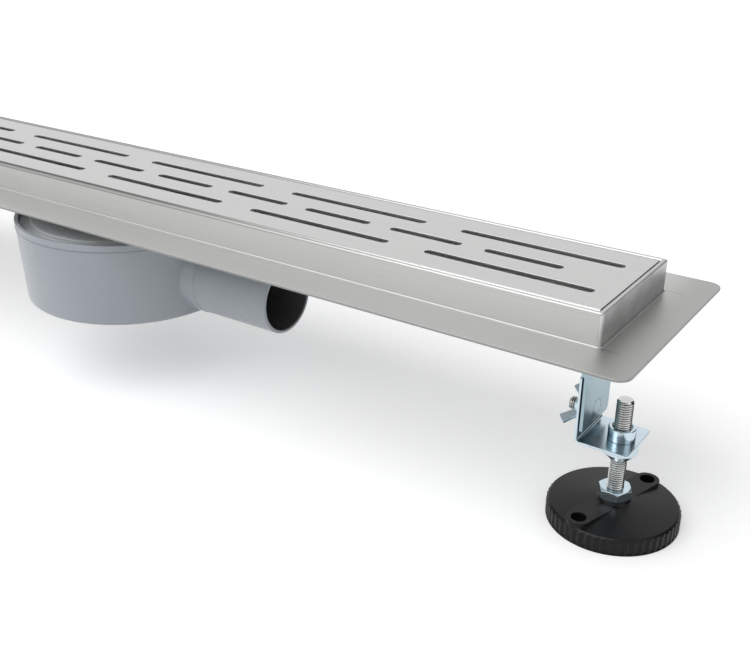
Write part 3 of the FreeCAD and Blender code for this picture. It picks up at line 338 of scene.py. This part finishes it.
# Painted shade on the bend of its near long edge, like on the rim beside it
along, across, _ = parts(tree, position(tree))
bend_shade_mask = product(tree, rising(tree, sizes(tree, facing(tree))[1], *ON_BEND),
               rising(tree, sizes(tree, position(tree))[1], *BEND_ACROSS),
               falling(tree, across, *NEAR_SIDE_FADE), falling(tree, along, *DARK_RIM_FADE))
overlay(tree, bend_shade_mask, SHADED_GAP)
cover = softened("grate", "channel", cover_steel, width=0.00025)

# TRAP POT AND LID
# Two grey polypropylene mouldings, glued together: a low round pot with its outlet spigot, and a
# lid with a raised middle. They hang under the channel on the collar that is screwed into the lid.

SPIGOT_HEIGHT = 0.0818
BORE_RADIUS = 0.0224
OUTLET_SIDE = (0.01, 0.02)
POT_DARK, POT_LIGHT = (0.355, 0.385, 0.42), (0.385, 0.415, 0.45)
BORE_SHADE = (0.08, 0.08, 0.082)
LID_DARK, LID_LIGHT = (0.50, 0.52, 0.53), (0.56, 0.58, 0.59)
PLASTIC_IOR = 1.49
MOULDING_CLOUDS = (22, 22, 22)
MOULDING_SKIN = (2600, 2600, 2600)


def moulding(name, dark, light, rough, pits=0.00001, gloss=0.5):
    """Moulded plastic or rubber: faint clouding and a fine skin."""
    material, tree, shader = material_for(name)
    shader.inputs["Specular IOR Level"].default_value = gloss
    shader.inputs["IOR"].default_value = PLASTIC_IOR
    clouds = rising(tree, grain(tree, MOULDING_CLOUDS, detail=0.0), 0, 1)
    skin = grain(tree, MOULDING_SKIN, detail=2.0)
    tree.links.new(mixed(tree, clouds, dark, light), shader.inputs["Base Color"])
    tree.links.new(remap(tree, skin, rough - 0.01, rough + 0.02, 0, 1), shader.inputs["Roughness"])
    tree.links.new(relief(tree, [(skin, pits)]), shader.inputs["Normal"])
    return material


pot_grey = moulding("trap_grey", POT_DARK, POT_LIGHT, rough=0.27)
tree = pot_grey.node_tree
# Painted shade: the spigot's bore is painted dark inside, everything within its radius on the
# outlet side of the pot
about_axis = tree.nodes.new("ShaderNodeMapping")
about_axis.inputs["Location"].default_value = (0, 0, -SPIGOT_HEIGHT)
about_axis.inputs["Scale"].default_value = (0, 1, 1)
from_axis = tree.nodes.new("ShaderNodeVectorMath")
from_axis.operation = "LENGTH"
tree.links.new(position(tree), about_axis.inputs["Vector"])
tree.links.new(about_axis.outputs["Vector"], from_axis.inputs[0])
in_bore = falling(tree, from_axis.outputs["Value"], BORE_RADIUS + 0.0002, BORE_RADIUS + 0.0008)
outlet_side = rising(tree, parts(tree, position(tree))[0], *OUTLET_SIDE)
overlay(tree, product(tree, in_bore, outlet_side), BORE_SHADE)
pot = softened("trap_pot", "channel", pot_grey, width=0.0004)
pale_grey = moulding("lid_grey", LID_DARK, LID_LIGHT, rough=0.42)
lid = softened("trap_lid", "channel", pale_grey, width=0.0003)

# TRAP INSIDE
# The flanged collar, the lift-out insert with its dip tube, the water cup round it and the hair
# strainer are pale mouldings; the flat seal and the insert's ring are black rubber.

RUBBER_DARK, RUBBER_LIGHT = (0.018, 0.018, 0.018), (0.028, 0.028, 0.027)

for node in ("inlet_collar", "dip_tube", "seal_cup", "hair_strainer"):
    piece = softened(node, "channel", pale_grey, width=0.0002)

seal_rubber = moulding("seal_rubber", RUBBER_DARK, RUBBER_LIGHT, rough=0.62, pits=0.00002)
for node in ("trap_gasket", "insert_seal"):
    nodes[node].data.materials.clear()
    nodes[node].data.materials.append(seal_rubber)

# HANGERS AND BRACKETS
# Under each end a head bar with a flat tongue carries a folded bracket, which slides up and down
# behind the tongue. A threaded bush stands in the bracket's foot. All are plated in pale blue zinc.

PLATE_TOP = 0.0545
BUSH_CONTACT_SHADE_HEIGHTS = (PLATE_TOP, PLATE_TOP + 0.0002)
BLUE_DARK, BLUE_LIGHT = (0.56, 0.67, 0.74), (0.61, 0.72, 0.79)
DULL_DARK, DULL_LIGHT = (0.33, 0.44, 0.48), (0.35, 0.46, 0.50)
BUSH_CONTACT_SHADE = (0.12, 0.17, 0.21)
ZINC_CLOUDS = (70, 70, 50)
ZINC_CLOUD_DEPTH = 0.000012
ROLLED_STEEL = (300, 300, 60)
MARK_DEPTH = 0.0000006


def zinc_plate(name, dark, light, rough, marks=ROLLED_STEEL):
    """Zinc plating: bright, slightly clouded, with the marks of the steel below."""
    material, tree, shader = material_for(name)
    shader.inputs["Metallic"].default_value = 1.0
    clouds = grain(tree, ZINC_CLOUDS, detail=1.0)
    below = grain(tree, marks, detail=2.0)
    tree.links.new(mixed(tree, remap(tree, clouds, 0, 1), dark, light), shader.inputs["Base Color"])
    tree.links.new(remap(tree, below, rough - 0.01, rough + 0.015), shader.inputs["Roughness"])
    bumps = relief(tree, [(clouds, ZINC_CLOUD_DEPTH), (below, MARK_DEPTH)])
    tree.links.new(bumps, shader.inputs["Normal"])
    return material


blue_zinc = zinc_plate("blue_zinc", BLUE_DARK, BLUE_LIGHT, rough=0.24)
dull_zinc = zinc_plate("dull_zinc", DULL_DARK, DULL_LIGHT, rough=0.32)
bush_zinc = zinc_plate("bush_zinc", BLUE_DARK, BLUE_LIGHT, rough=0.2)
tree = bush_zinc.node_tree
# Painted shade: a fine dark line where the bush stands on the bracket
bush_contact_shade_mask = within(tree, sizes(tree, position(tree))[2], BUSH_CONTACT_SHADE_HEIGHTS, fade=0.0001)
overlay(tree, bush_contact_shade_mask, BUSH_CONTACT_SHADE)
for side in ("right", "left"):
    piece = softened("hanger_" + side, "channel", dull_zinc, width=0.0003)
    piece = softened("bracket_" + side, "bracket_" + side, blue_zinc, width=0.0003)
    piece = softened("threaded_bush_" + side, "bracket_" + side, bush_zinc, width=0.0002)

# CLAMP STUDS, WASHERS AND WING NUTS
# A flush-headed M8 stud is pressed into each tongue and passes through the bracket's slot. A
# washer and a two-winged nut on it hold the bracket at its height.

CLAMP_RADIUS, CLAMP_PITCH = 0.004, 0.00125
CLAMP_THREAD_START = 0.0004
CLAMP_HEAD_RADIUS, CLAMP_HEAD_HEIGHT = 0.0063, 0.0012
CLAMP_HEAD_EDGE = 0.0002
BRIGHT_DARK, BRIGHT_LIGHT = (0.66, 0.67, 0.66), (0.72, 0.73, 0.72)
TURNED_STEEL = (900, 900, 900)
GROOVE_SHADE = (0.17, 0.175, 0.17)
GROOVE_DEPTHS = (0.25, 0.95)
# One turn of the thread's outline: its depth, where its crest starts and ends, and where its root
# starts, and the chamfer of the rod's ends, all as parts of the pitch
THREAD_DEPTH = 0.58
CREST_START, CREST_END, ROOT_START = 0.40, 0.54, 0.94
END_CHAMFER = 0.62
TURN_STEPS = 36


def threaded_rod(name, radius, pitch, length):
    """A rod along Z from zero to its length, with a true helical thread and chamfered ends.

    Its depth attribute is one at the bottom of the thread and zero at the crest."""
    turns = math.ceil(length / pitch) + 2
    root = radius - THREAD_DEPTH * pitch
    outline = [(root, 0), (radius, CREST_START), (radius, CREST_END), (root, ROOT_START), (root, 1)]
    shape = bmesh.new()
    points = [shape.verts.new((out, 0, (turn - 1) * pitch)) for out, turn in outline]
    profile = [shape.edges.new(pair) for pair in zip(points, points[1:])]
    bmesh.ops.spin(shape, geom=points + profile, cent=(0, 0, 0), axis=(0, 0, 1),
                   dvec=(0, 0, pitch / TURN_STEPS), angle=2 * math.pi * turns,
                   steps=TURN_STEPS * turns)
    bmesh.ops.remove_doubles(shape, verts=shape.verts, dist=1e-6)
    for height, way in ((0, -1), (length, 1)):
        bmesh.ops.bisect_plane(shape, geom=shape.verts[:] + shape.edges[:] + shape.faces[:],
                               dist=1e-7, plane_co=(0, 0, height), plane_no=(0, 0, way),
                               clear_outer=True)
    chamfer = END_CHAMFER * pitch
    for vertex in shape.verts:
        allowed = radius - chamfer + min(vertex.co.z, length - vertex.co.z)
        across = Vector((vertex.co.x, vertex.co.y))
        if across.length > allowed:
            vertex.co.x, vertex.co.y = across * (allowed / across.length)
    rims = [edge for edge in shape.edges if edge.is_boundary]
    bmesh.ops.holes_fill(shape, edges=rims, sides=0)
    bmesh.ops.recalc_face_normals(shape, faces=shape.faces)
    depth = [(radius - math.hypot(v.co.x, v.co.y)) / (radius - root)
             if chamfer < v.co.z < length - chamfer else 0 for v in shape.verts]
    mesh = mesh_from(shape, name)
    mesh.attributes.new("depth", "FLOAT", "POINT").data.foreach_set("value", depth)
    return mesh


def clamp_head(name):
    """The stud's flat round head, with its edge eased, from zero upwards."""
    shape = bmesh.new()
    bmesh.ops.create_cone(shape, cap_ends=True, segments=48, radius1=CLAMP_HEAD_RADIUS,
                          radius2=CLAMP_HEAD_RADIUS, depth=CLAMP_HEAD_HEIGHT,
                          matrix=Matrix.Translation((0, 0, CLAMP_HEAD_HEIGHT / 2)))
    face_edge = [edge for edge in shape.edges if all(abs(v.co.z) < 1e-6 for v in edge.verts)]
    bmesh.ops.bevel(shape, geom=face_edge, offset=CLAMP_HEAD_EDGE, offset_type="OFFSET",
                    segments=3, profile=0.5, affect="EDGES", material=-1)
    return mesh_from(shape, name)


def placed(name, mesh, matrix, finish, body):
    """Sets a mesh in its place, as an object at the origin that rides on a body."""
    mesh.transform(matrix)
    smooth(mesh, sharp_angle=38)
    mesh.materials.append(finish)
    piece = in_scene(name, mesh)
    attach(piece, body)
    return piece


bright_zinc = zinc_plate("bright_zinc", BRIGHT_DARK, BRIGHT_LIGHT, rough=0.2, marks=TURNED_STEEL)
tree = bright_zinc.node_tree
# Painted shade: the thread grooves are painted darker the deeper they go
groove = tree.nodes.new("ShaderNodeAttribute")
groove.attribute_name = "depth"
overlay(tree, rising(tree, groove.outputs["Fac"], *GROOVE_DEPTHS), GROOVE_SHADE)
for side, way in (("right", 1), ("left", -1)):
    low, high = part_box("clamp_stud_" + side)
    middle = (low + high) / 2
    face = high.x if way > 0 else low.x
    inwards = (Matrix.Translation((face, middle.y, middle.z))
               @ Matrix.Rotation(-way * math.pi / 2, 4, "Y"))
    name = "clamp_thread_" + side
    thread = threaded_rod(name, CLAMP_RADIUS, CLAMP_PITCH, high.x - low.x - CLAMP_THREAD_START)
    behind_face = inwards @ Matrix.Translation((0, 0, CLAMP_THREAD_START))
    stud = placed(name, thread, behind_face, bright_zinc, "channel")
    name = "clamp_head_" + side
    head = placed(name, clamp_head(name), inwards, dull_zinc, "channel")
    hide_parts("clamp_stud_" + side)
    piece = softened("washer_" + side, "channel", blue_zinc, width=0.00015)
    piece = softened("wing_nut_" + side, "wing_nut_" + side, blue_zinc, width=0.00035, segments=3)

# HEIGHT STUDS AND THEIR NUTS
# An M10 stud stands in each foot and is screwed through the bracket's bush; a thin hexagon nut
# jams it on the foot. The stud is bright zinc-plated steel, the nut has the bracket's blue zinc.

STUD_RADIUS, STUD_PITCH = 0.005, 0.0015

for side in ("right", "left"):
    low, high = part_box("height_stud_" + side)
    middle = (low + high) / 2
    name = "height_thread_" + side
    thread = threaded_rod(name, STUD_RADIUS, STUD_PITCH, high.z - low.z)
    upright = Matrix.Translation((middle.x, middle.y, low.z))
    stud = placed(name, thread, upright, bright_zinc, "foot_" + side)
    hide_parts("height_stud_" + side)
    nut = softened("hex_nut_" + side, "foot_" + side, blue_zinc, width=0.00015, angle=20)

# FEET
# Black glass-filled nylon, moulded in one: a fluted rim to turn by hand, a gently crowned top and
# a raised bar with two holes for floor screws.

FOOT_DARK, FOOT_LIGHT = (0.0065, 0.0062, 0.0066), (0.008, 0.0077, 0.008)

foot_black = moulding("foot_black", FOOT_DARK, FOOT_LIGHT, rough=0.30, pits=0.00003, gloss=0.21)
for side in ("right", "left"):
    piece = softened("foot_" + side, "foot_" + side, foot_black, width=0.0003, angle=35)

# STUDIO
# A plain white floor under soft, even light: pale surroundings and one very wide lamp, above and
# to the left of the camera. Dark flags, which only reflections show, give the metal its contrast.
# The camera stands where the photograph was taken from.

FLOOR_WHITE = (0.86, 0.86, 0.86, 1)
FLOOR_REACH = 6
FLOOR_LIFT = 0.34
SOFT_SKY, SOFT_SKY_STRENGTH = (0.975, 0.985, 1.0, 1), 0.47
WHITE = (1, 1, 1, 1)
FLAG_BLACK = (0.03, 0.03, 0.03, 1)
# Each flag's name, centre, width and height
FLAGS = (
    ("front_flag", (1.0, -1.7, 1.25), 2.6, 1.1),
    ("side_flag", (1.35, 1.0, 0.78), 2.0, 1.1),
    ("leg_flag", (0.414, -0.115, 0.055), 0.015, 0.09),
)
RIGHT_LEG_ALONG = 0.4
LAMP_PLACE = Vector((-0.45, -1.05, 1.6))
LAMP_ENERGY = 1.65
LAMP_WIDTH_DEGREES = 55
CAMERA_PLACE = (0.5721, -0.5133, 0.3643)
CAMERA_RIGHT = Vector((0.82833, 0.56018, 0.00817))
CAMERA_UP = Vector((-0.23967, 0.34114, 0.90895))
LENS, SENSOR_WIDTH = 50.1, 36


def grid(name, half_size, matrix=Matrix()):
    """A flat square mesh, set in its place."""
    shape = bmesh.new()
    bmesh.ops.create_grid(shape, x_segments=1, y_segments=1, size=half_size, matrix=matrix)
    return mesh_from(shape, name)


def seen_directly(tree):
    """One for rays from the camera, or by way of metal or glass."""
    rays = tree.nodes.new("ShaderNodeLightPath")
    value = rays.outputs["Is Camera Ray"]
    for kind in ("Is Glossy Ray", "Is Transmission Ray"):
        either = tree.nodes.new("ShaderNodeMath")
        either.operation = "MAXIMUM"
        tree.links.new(value, either.inputs[0])
        tree.links.new(rays.outputs[kind], either.inputs[1])
        value = either.outputs[0]
    return value


floor_mesh = grid("floor", FLOOR_REACH)
floor = in_scene("floor", floor_mesh)
floor_white, tree, shader = material_for("floor_white")
shader.inputs["Base Color"].default_value = FLOOR_WHITE
shader.inputs["Roughness"].default_value = 0.9
shader.inputs["Specular IOR Level"].default_value = 0.1
shader.inputs["Emission Color"].default_value = WHITE
lift = tree.nodes.new("ShaderNodeMath")
lift.operation = "MULTIPLY"
lift.inputs[1].default_value = FLOOR_LIFT
tree.links.new(seen_directly(tree), lift.inputs[0])
tree.links.new(lift.outputs[0], shader.inputs["Emission Strength"])
floor_mesh.materials.append(floor_white)

world = bpy.data.worlds.new("surroundings")
bpy.context.scene.world = world
world.use_nodes = True
tree = world.node_tree
soft = tree.nodes["Background"]
soft.inputs["Color"].default_value = SOFT_SKY
soft.inputs["Strength"].default_value = SOFT_SKY_STRENGTH
white = tree.nodes.new("ShaderNodeBackground")
white.inputs["Color"].default_value = WHITE
white.inputs["Strength"].default_value = 1.0
choose = tree.nodes.new("ShaderNodeMixShader")
tree.links.new(seen_directly(tree), choose.inputs["Fac"])
tree.links.new(soft.outputs[0], choose.inputs[1])
tree.links.new(white.outputs[0], choose.inputs[2])
tree.links.new(choose.outputs[0], tree.nodes["World Output"].inputs["Surface"])

flag_black, tree, shader = material_for("flag_black")
shader.inputs["Base Color"].default_value = FLAG_BLACK
shader.inputs["Specular IOR Level"].default_value = 0
for name, centre, width, height in FLAGS:
    to_leg = Vector((RIGHT_LEG_ALONG, 0, centre[2])) - Vector(centre)
    turned = to_leg.to_track_quat("Z", "Y").to_matrix().to_4x4()
    stretched = Matrix.Diagonal((width, height, 1, 1))
    mesh = grid(name, 0.5, Matrix.Translation(centre) @ turned @ stretched)
    mesh.materials.append(flag_black)
    piece = in_scene(name, mesh)
    piece.visible_camera = False
    piece.visible_diffuse = False
    piece.visible_shadow = False
    piece.visible_transmission = False

lamp = bpy.data.lights.new("wide_lamp", "SUN")
lamp.energy = LAMP_ENERGY
lamp.angle = math.radians(LAMP_WIDTH_DEGREES)
overhead = in_scene("wide_lamp", lamp)
overhead.location = LAMP_PLACE
overhead.rotation_euler = LAMP_PLACE.to_track_quat("Z", "Y").to_euler()

camera_lens = bpy.data.cameras.new("camera")
camera_lens.lens = LENS
camera_lens.sensor_width = SENSOR_WIDTH
camera_lens.sensor_fit = "HORIZONTAL"
camera_lens.clip_start = 0.02
camera = in_scene("camera", camera_lens)
axes = Matrix((CAMERA_RIGHT, CAMERA_UP, CAMERA_RIGHT.cross(CAMERA_UP))).transposed().to_4x4()
camera.matrix_world = Matrix.Translation(CAMERA_PLACE) @ axes
bpy.context.scene.camera = camera
bpy.context.scene.view_settings.view_transform = "Standard"
